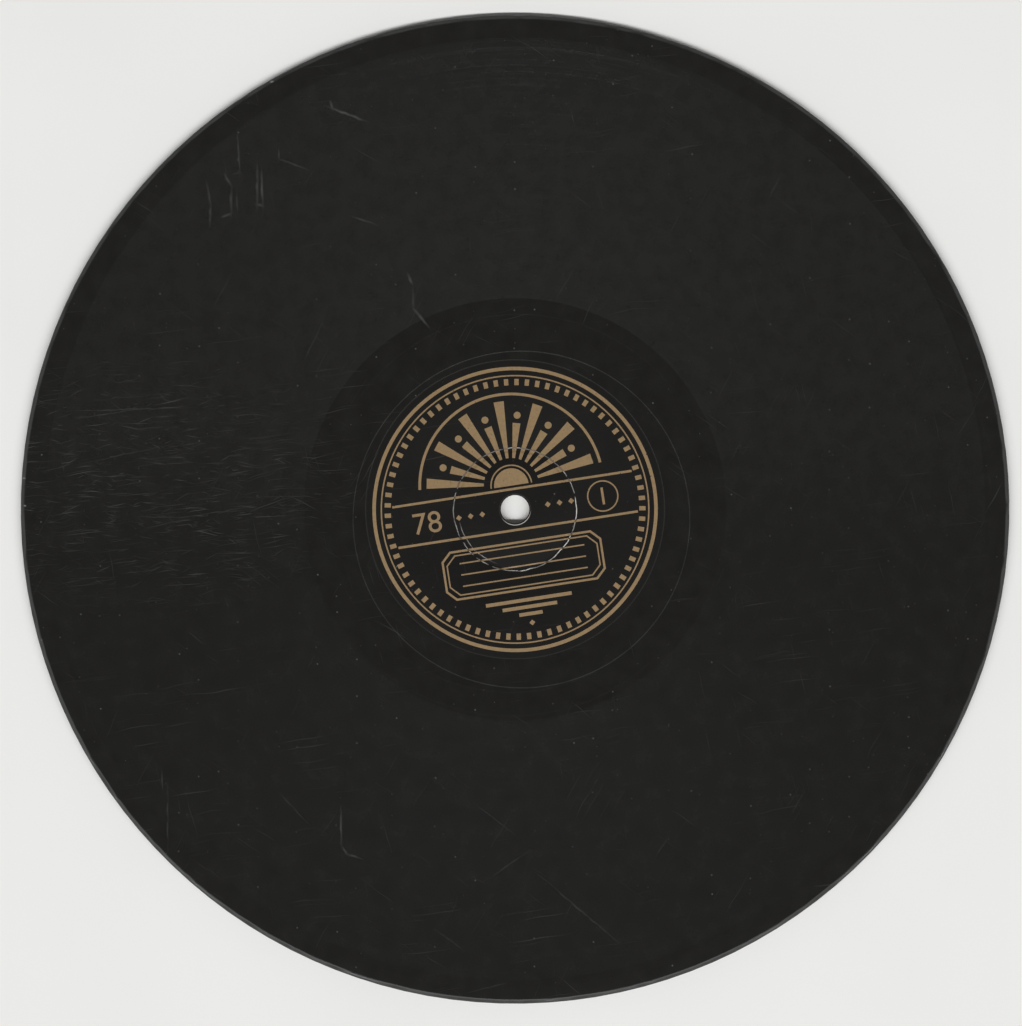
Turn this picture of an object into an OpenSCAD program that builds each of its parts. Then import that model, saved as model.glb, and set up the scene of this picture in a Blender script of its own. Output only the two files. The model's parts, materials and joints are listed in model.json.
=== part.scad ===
// Coarse-groove shellac gramophone record, 25 cm, pressed as a laminate: a coarse core between two
// bonding papers, two fine facings that carry the groove, and two paper labels pressed in flush.
// The disc lies flat on z = 0 with the spindle axis on Z. Side A faces up.

/* [Disc] */
// Diameter over the rim
disc_d = 251; // [200:0.5:305]
// Thickness of the finished pressing
disc_t = 2.2; // [1.8:0.05:3]
// Radius of the moulded edge on each side
edge_r = 0.8; // [0.3:0.05:0.85]
// Diameter of the spindle hole
hole_d = 7.26; // [6:0.02:9]
// Chamfer round each mouth of the spindle hole
hole_lip = 0.25; // [0.1:0.01:0.3]

/* [Layers] */
// Thickness of each fine shellac facing
facing_t = 0.5; // [0.45:0.01:0.7]
// Thickness of each bonding paper
paper_t = 0.1; // [0.05:0.01:0.15]
// Width of facing stock that wraps the edge of the core
rim_skin = 1.5; // [1:0.1:4]

/* [Label] */
// Diameter of each paper label
label_d = 76; // [60:0.5:100]
// Depth of the recess that each label is pressed into
label_t = 0.12; // [0.08:0.01:0.14]
// Clearance all round between a label and its recess
label_fit = 0.02; // [0.01:0.005:0.04]
// Mean diameter of the ring that the press stamps into the label
ring_d = 30.2; // [20:0.2:50]
// Width of the stamped ring at the surface
ring_w = 1.4; // [0.8:0.1:3]
// Width of the flat floor of the stamped ring
ring_floor_w = 0.5; // [0.2:0.05:0.7]
// Depth of the stamped ring
ring_depth = 0.12; // [0.05:0.01:0.15]

/* [Recorded groove] */
// Smooth margin between the rim and the first recorded turn
rim_w = 6; // [4:0.1:12]
// Spacing of the recorded turns
groove_pitch = 0.28; // [0.24:0.01:0.6]
// Width of the groove at the surface
groove_w = 0.16; // [0.1:0.01:0.2]
// Depth of the groove
groove_depth = 0.07; // [0.04:0.005:0.1]

/* [Lead-in, run-out and stop grooves] */
// Distance from the rim at which the lead-in groove starts
lead_in_margin = 2.9; // [1.5:0.1:3.5]
// Direction from the centre in which the lead-in groove starts
lead_in_start = 165; // [0:1:359]
// Angle that the lead-in groove turns through to reach the first recorded turn
lead_in_sweep = 265; // [200:1:340]
// Radial distance that the run-out groove crosses, from the last recorded turn to the stop groove
run_out_w = 7.8; // [5:0.1:15]
// Angle that the run-out groove turns through
run_out_sweep = 460; // [380:1:700]
// Least gap between the label and the stop groove
stop_gap = 1.65; // [1:0.05:5]
// Distance of the stop groove's centre from the spindle axis, which trips an automatic stop
stop_offset = 3.05; // [1:0.05:4]
// Direction in which the stop groove's centre is offset
stop_direction = -58; // [-180:1:180]
// Width of the stop groove at the surface
stop_w = 0.24; // [0.16:0.01:0.4]
// Depth of the stop groove
stop_depth = 0.1; // [0.05:0.01:0.14]

/* [Hidden] */
$fn = 180;

half_turn = 180;
// How far a groove cutter stands above the surface that it cuts
cutter_rise = 0.1;

disc_r = disc_d / 2;
hole_r = hole_d / 2;
label_r = label_d / 2;
ring_r = ring_d / 2;
core_r = disc_r - rim_skin;
mid_z = disc_t / 2;
facing_z = disc_t - facing_t;
paper_z = facing_z - paper_t;
label_z = disc_t - label_t;
label_hole_r = hole_r + hole_lip;

stop_r = label_r + stop_gap + stop_offset;
first_turn_r = disc_r - rim_w;
turns = floor((first_turn_r - stop_r - stop_offset - run_out_w) / groove_pitch) + 1;
last_turn_r = first_turn_r - (turns - 1) * groove_pitch;

// Section of a stamped ring in a surface at height z, from the outside in
function stamped_ring(z) = [
    [ring_r + ring_w / 2, z],
    [ring_r + ring_floor_w / 2, z - ring_depth],
    [ring_r - ring_floor_w / 2, z - ring_depth],
    [ring_r - ring_w / 2, z]
];

// Section of one recorded turn of radius r in the top surface, from the outside in
function turn_notch(r) = [
    [r + groove_w / 2, disc_t],
    [r, disc_t - groove_depth],
    [r - groove_w / 2, disc_t]
];

// Share of its pitch that a spiral of half-turn arcs closes in by while it turns through sweep
function spiral_share(sweep) = floor(sweep / half_turn) / 2 + (1 - cos(sweep % half_turn)) / 4;

// Turns what is drawn for side A over to side B, about the X axis at mid thickness
module side_b() {
    translate([0, 0, disc_t]) rotate([half_turn, 0, 0]) children();
}

// Flat ring of the pressing's own hole and core size, from height z up
module layer(z, t) {
    translate([0, 0, z]) rotate_extrude() translate([hole_r, 0]) square([core_r - hole_r, t]);
}

// V section of a groove cutter in the top surface, at radius r
module cutter_section(r, w, depth) {
    half_w = w / 2 * (depth + cutter_rise) / depth;
    translate([r, disc_t])
        polygon([[-half_w, cutter_rise], [0, -depth], [half_w, cutter_rise]]);
}

// Spiral groove that closes in from r_from to r_to in half-turn arcs whose two centres alternate
module spiral_groove(r_from, r_to, start, sweep, w, depth) {
    pitch = (r_from - r_to) / spiral_share(sweep);
    for (arc = [0 : ceil(sweep / half_turn) - 1])
        rotate(start + arc * half_turn)
            translate([pitch / 4, 0, 0])
                rotate_extrude(angle = min(half_turn, sweep - arc * half_turn))
                    cutter_section(r_from - pitch / 4 - arc * pitch / 2, w, depth);
}

module lead_in_groove() {
    spiral_groove(disc_r - lead_in_margin, first_turn_r, lead_in_start, lead_in_sweep,
        groove_w, groove_depth);
}

module run_out_groove() {
    spiral_groove(last_turn_r, stop_r + stop_offset, stop_direction - run_out_sweep, run_out_sweep,
        groove_w, groove_depth);
}

module stop_groove() {
    rotate(stop_direction)
        translate([stop_offset, 0, 0])
            rotate_extrude() cutter_section(stop_r, stop_w, stop_depth);
}

// Half section of a facing: it wraps the core's edge down to mid thickness
module facing_section() {
    polygon(concat(
        [[hole_r, facing_z], [core_r, facing_z], [core_r, mid_z], [disc_r, mid_z]],
        [[disc_r, disc_t - edge_r], [disc_r - edge_r, disc_t]],
        [for (turn = [0 : turns - 1]) each turn_notch(first_turn_r - turn * groove_pitch)],
        [[label_r, disc_t], [label_r, label_z]],
        stamped_ring(label_z),
        [[label_hole_r, label_z], [hole_r, label_z - hole_lip]]
    ));
    translate([disc_r - edge_r, disc_t - edge_r])
        intersection() {
            circle(r = edge_r);
            square(edge_r);
        }
}

module facing() {
    difference() {
        rotate_extrude() facing_section();
        lead_in_groove();
        run_out_groove();
        stop_groove();
    }
}

// Paper label of even thickness that follows the stamped ring
module label() {
    rim_r = label_r - label_fit;
    mouth_r = label_hole_r + label_fit;
    under_z = label_z + label_fit;
    under = concat([[rim_r, under_z]], stamped_ring(under_z), [[mouth_r, under_z]]);
    over = concat([[rim_r, disc_t]], stamped_ring(disc_t), [[mouth_r, disc_t]]);
    rotate_extrude() polygon(concat(over, [for (i = [len(under) - 1 : -1 : 0]) under[i]]));
}

module core() {
    color("#3b342d") layer(disc_t - paper_z, 2 * paper_z - disc_t);
}

module bonding_paper_a() {
    color("#9a7b55") layer(paper_z, paper_t);
}

module bonding_paper_b() {
    color("#9a7b55") side_b() layer(paper_z, paper_t);
}

module facing_a() {
    color("#212120") facing();
}

module facing_b() {
    color("#212120") side_b() facing();
}

module label_a() {
    color("#1d1c1b") label();
}

module label_b() {
    color("#1d1c1b") side_b() label();
}

core();
bonding_paper_a();
bonding_paper_b();
facing_a();
facing_b();
label_a();
label_b();
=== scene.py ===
"""Looks of a laminated 25 cm shellac record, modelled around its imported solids."""
from contextlib import contextmanager
import json
import math

import bpy
import numpy as np
from mathutils import Matrix, Vector


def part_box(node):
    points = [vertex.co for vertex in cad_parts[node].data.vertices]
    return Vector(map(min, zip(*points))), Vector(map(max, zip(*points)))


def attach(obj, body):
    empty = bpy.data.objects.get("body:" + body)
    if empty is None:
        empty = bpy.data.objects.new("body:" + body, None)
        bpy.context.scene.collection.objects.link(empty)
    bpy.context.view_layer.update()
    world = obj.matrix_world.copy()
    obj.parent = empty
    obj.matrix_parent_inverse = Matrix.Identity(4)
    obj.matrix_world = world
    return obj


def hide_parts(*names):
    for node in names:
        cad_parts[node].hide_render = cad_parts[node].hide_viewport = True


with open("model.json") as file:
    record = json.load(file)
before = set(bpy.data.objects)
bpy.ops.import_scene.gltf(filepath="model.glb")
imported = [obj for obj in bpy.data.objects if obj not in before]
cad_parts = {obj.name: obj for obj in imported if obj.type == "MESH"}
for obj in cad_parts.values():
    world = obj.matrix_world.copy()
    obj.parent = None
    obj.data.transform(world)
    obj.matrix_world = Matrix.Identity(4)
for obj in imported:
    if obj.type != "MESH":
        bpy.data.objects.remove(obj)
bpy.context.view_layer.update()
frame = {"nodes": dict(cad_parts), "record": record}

bl_info = {
    "name": "Shellac record",
    "version": (1, 0, 0),
    "blender": (4, 5, 0),
    "location": "3D View > Sidebar > Record",
    "description": "Models the playing faces, labels and finish of a shellac record",
    "category": "Add Mesh",
}

MM = 0.001

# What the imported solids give
FACING_LOW, FACING_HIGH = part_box("facing_a")
LABEL_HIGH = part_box("label_a")[1]
PAPER_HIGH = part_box("bonding_paper_a")[1]
MOUNTS = {mount["name"]: mount for mount in frame["record"]["mounts"]}
HOLE_R = MOUNTS["spindle_hole"]["dims"]["r_mm"] * MM

# The photograph, in its own pixels
PHOTO_W = 1022
PHOTO_H = 1026
PHOTO_DISC_X = 515.05
PHOTO_DISC_Y = 509.39
PHOTO_DISC_R = 494.31

# Columns round every turned piece, and round the floor
TURN_STEPS = 128
FLOOR_STEPS = 64
# Rows of the mesh across one turn of the groove, outer lip, bottom and inner lip: where each lies across the
# width, and its share of the depth
GROOVE_ROWS = ((0.5, 0), (0, 1), (-0.5, 0))
# Share of a turn over which a groove fades in or out
GROOVE_FADE = 0.03
# Facets of the moulded edge
EDGE_STEPS = 6
# Faces that meet at less than this angle shade as one smooth surface
SMOOTH_ANGLE = math.radians(25)
# Vertices closer than the first are one, and edges shorter than the second are taken out
MERGE_GAP = 0.0005 * MM
SLIVER = 0.0001 * MM


def linear(code):
    """Turns an sRGB hex colour into the linear values that Blender's colours hold."""
    shares = [int(code[place:place + 2], 16) / 255 for place in (1, 3, 5)]
    return [share / 12.92 if share <= 0.04045 else ((share + 0.055) / 1.055) ** 2.4 for share in shares]


def number(name, description, default, unit="NONE"):
    return bpy.props.FloatProperty(
        name=name, description=description, default=default, unit=unit, precision=5
    )


def length(name, description, default):
    return number(name, description, default, "LENGTH")


def angle(name, description, degrees):
    return bpy.props.FloatProperty(
        name=name, description=description, default=math.radians(degrees), subtype="ANGLE"
    )


def colour(name, description, code):
    return bpy.props.FloatVectorProperty(
        name=name, description=description, default=linear(code), subtype="COLOR", min=0, max=1
    )


class DiscSizes(bpy.types.PropertyGroup):
    """Sizes of the pressed disc and of its labels."""

    disc_r: length("Disc radius", "Radius over the rim", FACING_HIGH.x)
    disc_t: length("Thickness", "Thickness of the pressing", FACING_HIGH.z)
    mid_z: length("Parting height", "Height at which the two facings meet", FACING_LOW.z)
    core_r: length("Core radius", "Radius of the core and the bonding papers", PAPER_HIGH.x)
    facing_z: length("Facing underside", "Height of the facing's underside", PAPER_HIGH.z)
    edge_r: length("Edge radius", "Radius of the moulded edge", 0.8 * MM)
    hole_r: length("Hole radius", "Radius of the spindle hole", HOLE_R)
    hole_lip: length("Hole lip", "Chamfer round the mouth of the hole", 0.25 * MM)
    label_r: length("Label radius", "Radius of the paper label", LABEL_HIGH.x)
    label_t: length("Label thickness", "Thickness of the label paper", 0.12 * MM)
    label_sink: length("Label sink", "How far the label lies below the playing face", 0.02 * MM)
    label_lip: length("Label lip", "Rounding of the shellac round the label", 0.03 * MM)
    ring_r: length("Stamped ring radius", "Mean radius of the press's ring", 15.1 * MM)
    ring_w: length("Stamped ring width", "Width of the ring at the surface", 1.4 * MM)
    ring_floor_w: length("Stamped ring floor", "Width of the ring's flat floor", 0.5 * MM)
    ring_depth: length("Stamped ring depth", "Depth of the stamped ring", 0.12 * MM)


class GrooveSizes(bpy.types.PropertyGroup):
    """Sizes of the one groove that runs from the rim to the stop groove."""

    rim_w: length("Rim", "Smooth margin outside the first recorded turn", 6 * MM)
    pitch: length("Pitch", "Spacing of the recorded turns", 0.28 * MM)
    width: length("Width", "Width of the groove at the surface", 0.16 * MM)
    depth: length("Depth", "Depth of the groove", 0.07 * MM)
    lead_in_margin: length("Lead-in margin", "Distance from the rim to the lead-in", 2.9 * MM)
    lead_in_start: angle("Lead-in start", "Direction in which the lead-in starts", 165)
    lead_in_sweep: angle("Lead-in sweep", "Angle that the lead-in turns through", 265)
    last_turn_r: length("Last turn", "Radius of the last recorded turn", 53.55 * MM)
    run_out_sweep: angle("Run-out sweep", "Angle that the run-out turns through", 460)
    stop_r: length("Stop groove radius", "Radius of the stop groove", 42.7 * MM)
    stop_offset: length("Stop groove offset", "How far off centre it lies", 3.05 * MM)
    stop_direction: angle("Stop groove direction", "Direction in which it lies off centre", -58)
    stop_w: length("Stop groove width", "Width of the stop groove", 0.24 * MM)
    stop_depth: length("Stop groove depth", "Depth of the stop groove", 0.1 * MM)


class PrintSizes(bpy.types.PropertyGroup):
    """Sizes of the ornament printed on the labels."""

    tilt: angle("Tilt", "How far the label was turned when it was pressed", 8.7)
    ink_t: length("Ink", "Thickness of the ink", 0.014 * MM)
    border_r: length("Border radius", "Outer radius of the bold border ring", 36.2 * MM)
    border_w: length("Border width", "Width of the bold border ring", 0.9 * MM)
    hair_rule_w: length("Hair rule", "Width of the fine rules", 0.35 * MM)
    band_y: length("Band half height", "Height of the rules above and below the hole", 5.2 * MM)
    rule_w: length("Rule", "Width of the rules beside the hole", 0.6 * MM)
    fan_r: length("Fan radius", "Reach of the long rays of the fan", 21.5 * MM)
    numeral_h: length("Numeral height", "Height of the numerals", 5.4 * MM)


class Finish(bpy.types.PropertyGroup):
    """Colours of the materials."""

    shellac: colour("Shellac", "Pressed black shellac", "#1A1918")
    # This pale grey also paints the sheen on the band and the highlight on the edge
    worn_and_sheen_shellac: colour("Worn shellac", "Shellac greyed by scuffs and dust", "#80817D")
    label_black: colour("Label black", "Black ground of the label", "#121110")
    bronze_ink: colour("Bronze ink", "Bronze printing ink", "#8C7350")
    bare_paper: colour("Bare paper", "Paper where the black is chipped off", "#D5D2CB")
    core_shellac: colour("Core", "Coarse filled shellac of the core", "#3B342D")
    kraft: colour("Kraft paper", "Bonding paper", "#9A7B55")
    floor: colour("Floor", "Pale floor", "#EDEDEB")


class StageSettings(bpy.types.PropertyGroup):
    """Camera, lamp, walls and floor."""

    lens: number("Lens", "Focal length", 100, "CAMERA")
    key_power: number("Key power", "Power of the strip lamp", 1430, "POWER")
    key_distance: length("Key distance", "Distance of the strip lamp", 9.0)
    key_elevation: angle("Key elevation", "Height of the strip lamp over the floor", 60)
    key_length: length("Key length", "Length of the strip lamp", 24.0)
    key_width: length("Key width", "Width of the strip lamp", 0.9)
    wall_level: number("Walls", "Light from the walls on either side", 0.48)
    front_level: number("Front and back", "What the walls in front and behind add to that", 0.45)
    ceiling_level: number("Ceiling", "Light from the ceiling", 0.04)
    floor_r: length("Floor radius", "Radius of the floor", 8.0)
    floor_gap: length("Floor gap", "Height of the disc over the floor", 0.02 * MM)


def take(piece):
    """Makes one object the only selected and the active one."""
    bpy.ops.object.select_all(action="DESELECT")
    piece.select_set(True)
    bpy.context.view_layer.objects.active = piece


def added(operator, name, **settings):
    """Adds a new object by one of Blender's operators, with nothing else selected."""
    bpy.ops.object.select_all(action="DESELECT")
    operator(**settings)
    piece = bpy.context.object
    piece.name = name
    return piece


@contextmanager
def whole_mesh():
    """Edit mode, with the whole of the active mesh selected at first."""
    bpy.ops.object.mode_set(mode="EDIT")
    bpy.ops.mesh.select_all(action="SELECT")
    yield
    bpy.ops.object.mode_set(mode="OBJECT")


def spun(name, section, direction):
    """Spins a closed half section of (radius, height) points once round Z, from this direction."""
    piece = added(bpy.ops.mesh.primitive_circle_add, name, vertices=len(section), fill_type="NOTHING")
    across = Vector((math.cos(direction), math.sin(direction), 0))
    for vertex, (radius, z) in zip(piece.data.vertices, section):
        vertex.co = across * radius + Vector((0, 0, z))
    with whole_mesh():
        bpy.ops.mesh.spin(
            steps=TURN_STEPS, angle=-math.tau, use_auto_merge=False, center=(0, 0, 0), axis=(0, 0, 1)
        )
    return piece


def close_skin(piece):
    """Merges the seam, turns every face outwards and smooths the shading."""
    take(piece)
    with whole_mesh():
        bpy.ops.mesh.remove_doubles(threshold=MERGE_GAP)
        bpy.ops.mesh.dissolve_degenerate(threshold=SLIVER)
        bpy.ops.mesh.normals_make_consistent(inside=False)
    bpy.ops.object.shade_smooth_by_angle(angle=SMOOTH_ANGLE)


def turned_over(piece, name):
    """Copy for side B with a mesh of its own, turned about the X axis at mid thickness."""
    thickness = bpy.context.scene.record_disc.disc_t
    twin = piece.copy()
    twin.data = piece.data.copy()
    twin.data.transform(Matrix.Translation((0, 0, thickness)) @ Matrix.Rotation(math.pi, 4, "X"))
    twin.name = name
    bpy.context.scene.collection.objects.link(twin)
    return twin


def stamped_ring(disc, z):
    """Section of the press's ring in a surface at height z, from the outside in."""
    return [
        (disc.ring_r + disc.ring_w / 2, z),
        (disc.ring_r + disc.ring_floor_w / 2, z - disc.ring_depth),
        (disc.ring_r - disc.ring_floor_w / 2, z - disc.ring_depth),
        (disc.ring_r - disc.ring_w / 2, z),
    ]


def groove_turns(disc, groove):
    """Turns at which the lead-in starts, the first and last recorded turns lie and the groove ends."""
    lead_in = (groove.lead_in_start - groove.stop_direction) / math.tau % 1
    first = lead_in + groove.lead_in_sweep / math.tau
    run_out = groove.run_out_sweep / math.tau
    band_w = disc.disc_r - groove.rim_w - groove.last_turn_r
    end = round(first + band_w / groove.pitch + run_out)
    return lead_in, first, end - run_out, end


def facing_section(disc, groove):
    """Half section of a facing, with plain rows where the groove is wound, and the first of those rows."""
    top = disc.disc_t
    label_z = top - disc.label_t
    label_hole_r = disc.hole_r + disc.hole_lip
    edge_centre_r = disc.disc_r - disc.edge_r
    edge = [math.pi / 2 * step / EDGE_STEPS for step in range(EDGE_STEPS + 1)]
    wall = [
        (disc.hole_r, disc.facing_z),
        (disc.core_r, disc.facing_z),
        (disc.core_r, disc.mid_z),
        (disc.disc_r, disc.mid_z),
    ]
    wall += [
        (edge_centre_r + disc.edge_r * math.cos(turn), top + disc.edge_r * (math.sin(turn) - 1))
        for turn in edge
    ]
    end = groove_turns(disc, groove)[3]
    rows = len(GROOVE_ROWS) * (end + 1)
    recess = [
        (disc.label_r + disc.label_lip, top),
        (disc.label_r, top - disc.label_lip / 2),
        (disc.label_r, label_z),
    ]
    recess += stamped_ring(disc, label_z)
    recess += [(label_hole_r, label_z), (disc.hole_r, label_z - disc.hole_lip)]
    inward = (recess[0][0] - edge_centre_r) / (rows + 1)
    plain = [(edge_centre_r + inward * (row + 1), top) for row in range(rows)]
    return wall + plain + recess, len(wall)


def wind_groove(piece, disc, groove, row_count, first_row):
    """Draws the plain turned rows into one groove: lead-in, recorded turns, run-out and stop groove."""
    lead_in, first, last, end = groove_turns(disc, groove)
    stop_lip_r = groove.stop_r + groove.stop_offset + groove.stop_w / 2
    places = np.empty(len(piece.data.vertices) * 3)
    piece.data.vertices.foreach_get("co", places)
    grid = places.reshape(TURN_STEPS + 1, row_count, 3)
    across = grid[:, 0, :2] / np.linalg.norm(grid[:, 0, :2], axis=1)[:, None]
    step = np.arange(TURN_STEPS + 1) / TURN_STEPS
    turn = np.arange(end) + step[:, None]
    radius = np.interp(
        turn,
        [0, lead_in, first, last, end],
        [
            disc.disc_r - disc.edge_r,
            disc.disc_r - groove.lead_in_margin,
            disc.disc_r - groove.rim_w,
            groove.last_turn_r,
            stop_lip_r,
        ],
    )
    present = np.interp(turn, [lead_in, lead_in + GROOVE_FADE, end - GROOVE_FADE, end], [0, 1, 1, 0])
    width = groove.width * present
    depth = groove.depth * present
    off = step[:, None] * math.tau
    stop = groove.stop_offset * np.cos(off)
    stop = stop + np.sqrt(groove.stop_r ** 2 - (groove.stop_offset * np.sin(off)) ** 2)
    radius = np.hstack([radius, stop])
    width = np.hstack([width, np.full_like(stop, groove.stop_w)])
    depth = np.hstack([depth, np.full_like(stop, groove.stop_depth)])
    last_row = first_row + len(GROOVE_ROWS) * (end + 1)
    for row, (side, drop) in enumerate(GROOVE_ROWS, first_row):
        rows = slice(row, last_row, len(GROOVE_ROWS))
        grid[:, rows, :2] = across[:, None, :] * (radius + side * width)[:, :, None]
        grid[:, rows, 2] = disc.disc_t - drop * depth
    piece.data.vertices.foreach_set("co", grid.ravel())
    piece.data.update()


def label_heights(disc):
    """Radii and heights of the label's upper surface, from the hole out."""
    top = disc.disc_t - disc.label_sink
    heights = [(disc.label_r, top)] + stamped_ring(disc, top) + [(disc.hole_r + disc.hole_lip, top)]
    return heights[::-1]


def label_section(disc):
    """Half section of a paper label that follows the stamped ring, with a soft cut edge."""
    under = disc.disc_t - disc.label_t
    top = disc.disc_t - disc.label_sink
    soft = disc.label_sink
    over = label_heights(disc)[1:-1][::-1]
    hole_r = disc.hole_r + disc.hole_lip
    section = [(disc.label_r, under), (disc.label_r, top - soft), (disc.label_r - soft, top)]
    section += over + [(hole_r + soft, top), (hole_r, top - soft), (hole_r, under)]
    return section + stamped_ring(disc, under)[::-1]


# Placing of the printed ornament, in millimetres on the label before it is tilted
FAN_RAYS = 13
FAN_SPREAD = math.radians(160)
FAN_RISE = 0.9
FAN_HEART_R = 4.4
FAN_COLLAR_GAP = 0.6
FAN_ROOT_R = 7.0
FAN_ROOT_W = 0.7
LONG_TIP_W = 2.6
SHORT_TIP_W = 2.0
SHORT_REACH = 0.74
BEAD_R = 0.9
BEAD_GAP = 1.1
BEAD_STEPS = 20
FAN_ARC_GAP = 1.4
FAN_ARC_W = 0.7
FAN_ARC_SPREAD = math.radians(168)
BORDER_GAP = 1.2
# A ring of this many bars stands still under 50 Hz lamps at 78 turns a minute
STROBE_BARS = 77
STROBE_R = 33.1
STROBE_BAR_L = 1.6
STROBE_BAR_W = 1.1
NUMERAL_X = 22.5
SIDE_NUMERAL_SHARE = 0.8
NUMERAL_RING_R = 4.0
LOZENGE_W = 1.5
LOZENGE_X = (8.4, 11.4, 14.4)
# The title panel and the rules in it
PANEL_Y = -14.4
PANEL_W = 41
PANEL_H = 12.6
PANEL_CORNER = 2.4
PANEL_FRAME_W = 0.55
PANEL_RULES = (-11.5, -14.4, -17.3)
PANEL_RULE_W = 32
# Stepped bars at the foot: height of the middle, and width
FOOT_BARS = ((-23.1, 22), (-24.9, 14), (-26.7, 6))
FOOT_BAR_H = 0.9
FOOT_LOZENGE_Y = -29.0
ARC_STEP = math.radians(2.5)
# Edges of the print are cut down to this length where it runs over the stamped ring
DRAPE_EDGE = 0.45
DRAPE_ROUNDS = 7
# Order of a plane primitive's vertices round its face
PLANE_ORDER = (0, 1, 3, 2)


def flat_plane(name, corners):
    """Flat face with these corners, in millimetres, from a plane primitive."""
    piece = added(bpy.ops.mesh.primitive_plane_add, name, size=1)
    for vertex, (x, y) in zip(PLANE_ORDER, corners):
        piece.data.vertices[vertex].co = (x * MM, y * MM, 0)
    return piece


def flat_bar(name, y, w, h):
    """Flat bar across the label's upright axis."""
    low = y - h / 2
    high = y + h / 2
    return flat_plane(name, [(-w / 2, low), (w / 2, low), (w / 2, high), (-w / 2, high)])


def lozenge(x, y):
    w = LOZENGE_W / 2
    return flat_plane("lozenge", [(x - w, y), (x, y - w), (x + w, y), (x, y + w)])


def arc_band(name, y, radius, w, start, sweep):
    """Flat band of an arc about a point on the label's upright axis, spun from one radial edge."""
    piece = added(bpy.ops.mesh.primitive_plane_add, name, size=1)
    with whole_mesh():
        bpy.ops.mesh.merge(type="CENTER")
    along = Vector((math.cos(start), math.sin(start), 0)) * MM
    piece.data.vertices[0].co = along * (radius - w)
    with whole_mesh():
        bpy.ops.mesh.extrude_region_move(TRANSFORM_OT_translate={"value": along * w})
        bpy.ops.mesh.select_all(action="SELECT")
        bpy.ops.mesh.spin(
            steps=round(sweep / ARC_STEP), angle=-sweep, use_auto_merge=True, center=(0, 0, 0), axis=(0, 0, 1)
        )
        bpy.ops.mesh.select_all(action="SELECT")
        bpy.ops.mesh.remove_doubles(threshold=MERGE_GAP)
        bpy.ops.mesh.normals_make_consistent(inside=False)
    piece.data.transform(Matrix.Translation((0, y * MM, 0)))
    return piece


def numeral(name, text, x, height):
    """Plain numerals as a flat mesh, centred on the label's level axis."""
    piece = added(bpy.ops.object.text_add, name)
    piece.data.body = text
    bpy.ops.object.convert(target="MESH")
    piece = bpy.context.object
    corners = np.array([vertex.co for vertex in piece.data.vertices])
    low, high = corners.min(0), corners.max(0)
    middle = Vector((low + high) / 2)
    grow = height * MM / (high[1] - low[1])
    piece.data.transform(
        Matrix.Translation((x * MM, 0, 0)) @ Matrix.Scale(grow, 4) @ Matrix.Translation(-middle)
    )
    return piece


def fan(sizes):
    """Fan of tapered rays over a half disc, under one thin arc."""
    root_y = sizes.band_y / MM + FAN_RISE
    reach = sizes.fan_r / MM
    pieces = []
    for ray in range(FAN_RAYS):
        short = ray % 2
        tip = reach * SHORT_REACH if short else reach
        tip_w = SHORT_TIP_W if short else LONG_TIP_W
        turn = FAN_SPREAD * (ray / (FAN_RAYS - 1) - 0.5)
        placing = Matrix.Translation((0, root_y * MM, 0)) @ Matrix.Rotation(turn, 4, "Z")
        root = [(-FAN_ROOT_W / 2, FAN_ROOT_R), (FAN_ROOT_W / 2, FAN_ROOT_R)]
        bar = flat_plane("ray", root + [(tip_w / 2, tip), (-tip_w / 2, tip)])
        bar.data.transform(placing)
        pieces.append(bar)
        if short:
            circle = {"vertices": BEAD_STEPS, "radius": BEAD_R * MM, "fill_type": "NGON"}
            bead = added(bpy.ops.mesh.primitive_circle_add, "bead", **circle)
            bead.data.transform(Matrix.Translation((0, (tip + BEAD_GAP + BEAD_R) * MM, 0)))
            bead.data.transform(placing)
            pieces.append(bead)
    heart = arc_band("heart", root_y, FAN_HEART_R, FAN_HEART_R, 0, math.pi)
    arc_r = reach + FAN_ARC_GAP + FAN_ARC_W
    arc = arc_band("fan_arc", root_y, arc_r, FAN_ARC_W, (math.pi - FAN_ARC_SPREAD) / 2, FAN_ARC_SPREAD)
    collar_w = sizes.hair_rule_w / MM
    collar = arc_band("collar", root_y, FAN_HEART_R + FAN_COLLAR_GAP + collar_w, collar_w, 0, math.pi)
    return pieces + [heart, arc, collar]


def title_panel(hair_w):
    """Empty title panel with cut corners and a double frame, ruled for writing in."""
    pieces = [flat_bar("rule", y, PANEL_RULE_W, hair_w) for y in PANEL_RULES]
    for inside, frame_w in ((0, PANEL_FRAME_W), (2 * PANEL_FRAME_W, hair_w)):
        panel = flat_bar("panel", PANEL_Y, PANEL_W - 2 * inside, PANEL_H - 2 * inside)
        with whole_mesh():
            bpy.ops.mesh.bevel(offset=PANEL_CORNER * MM, segments=1, affect="VERTICES")
            bpy.ops.mesh.select_all(action="SELECT")
            bpy.ops.mesh.inset(thickness=frame_w * MM)
            bpy.ops.mesh.delete(type="FACE")
        pieces.append(panel)
    return pieces


def strobe_ring():
    """Ring of short bars round the ornament."""
    pieces = []
    for bar in range(STROBE_BARS):
        mark = flat_bar("strobe_bar", STROBE_R - STROBE_BAR_L / 2, STROBE_BAR_W, STROBE_BAR_L)
        mark.data.transform(Matrix.Rotation(math.tau * bar / STROBE_BARS, 4, "Z"))
        pieces.append(mark)
    return pieces


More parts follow.
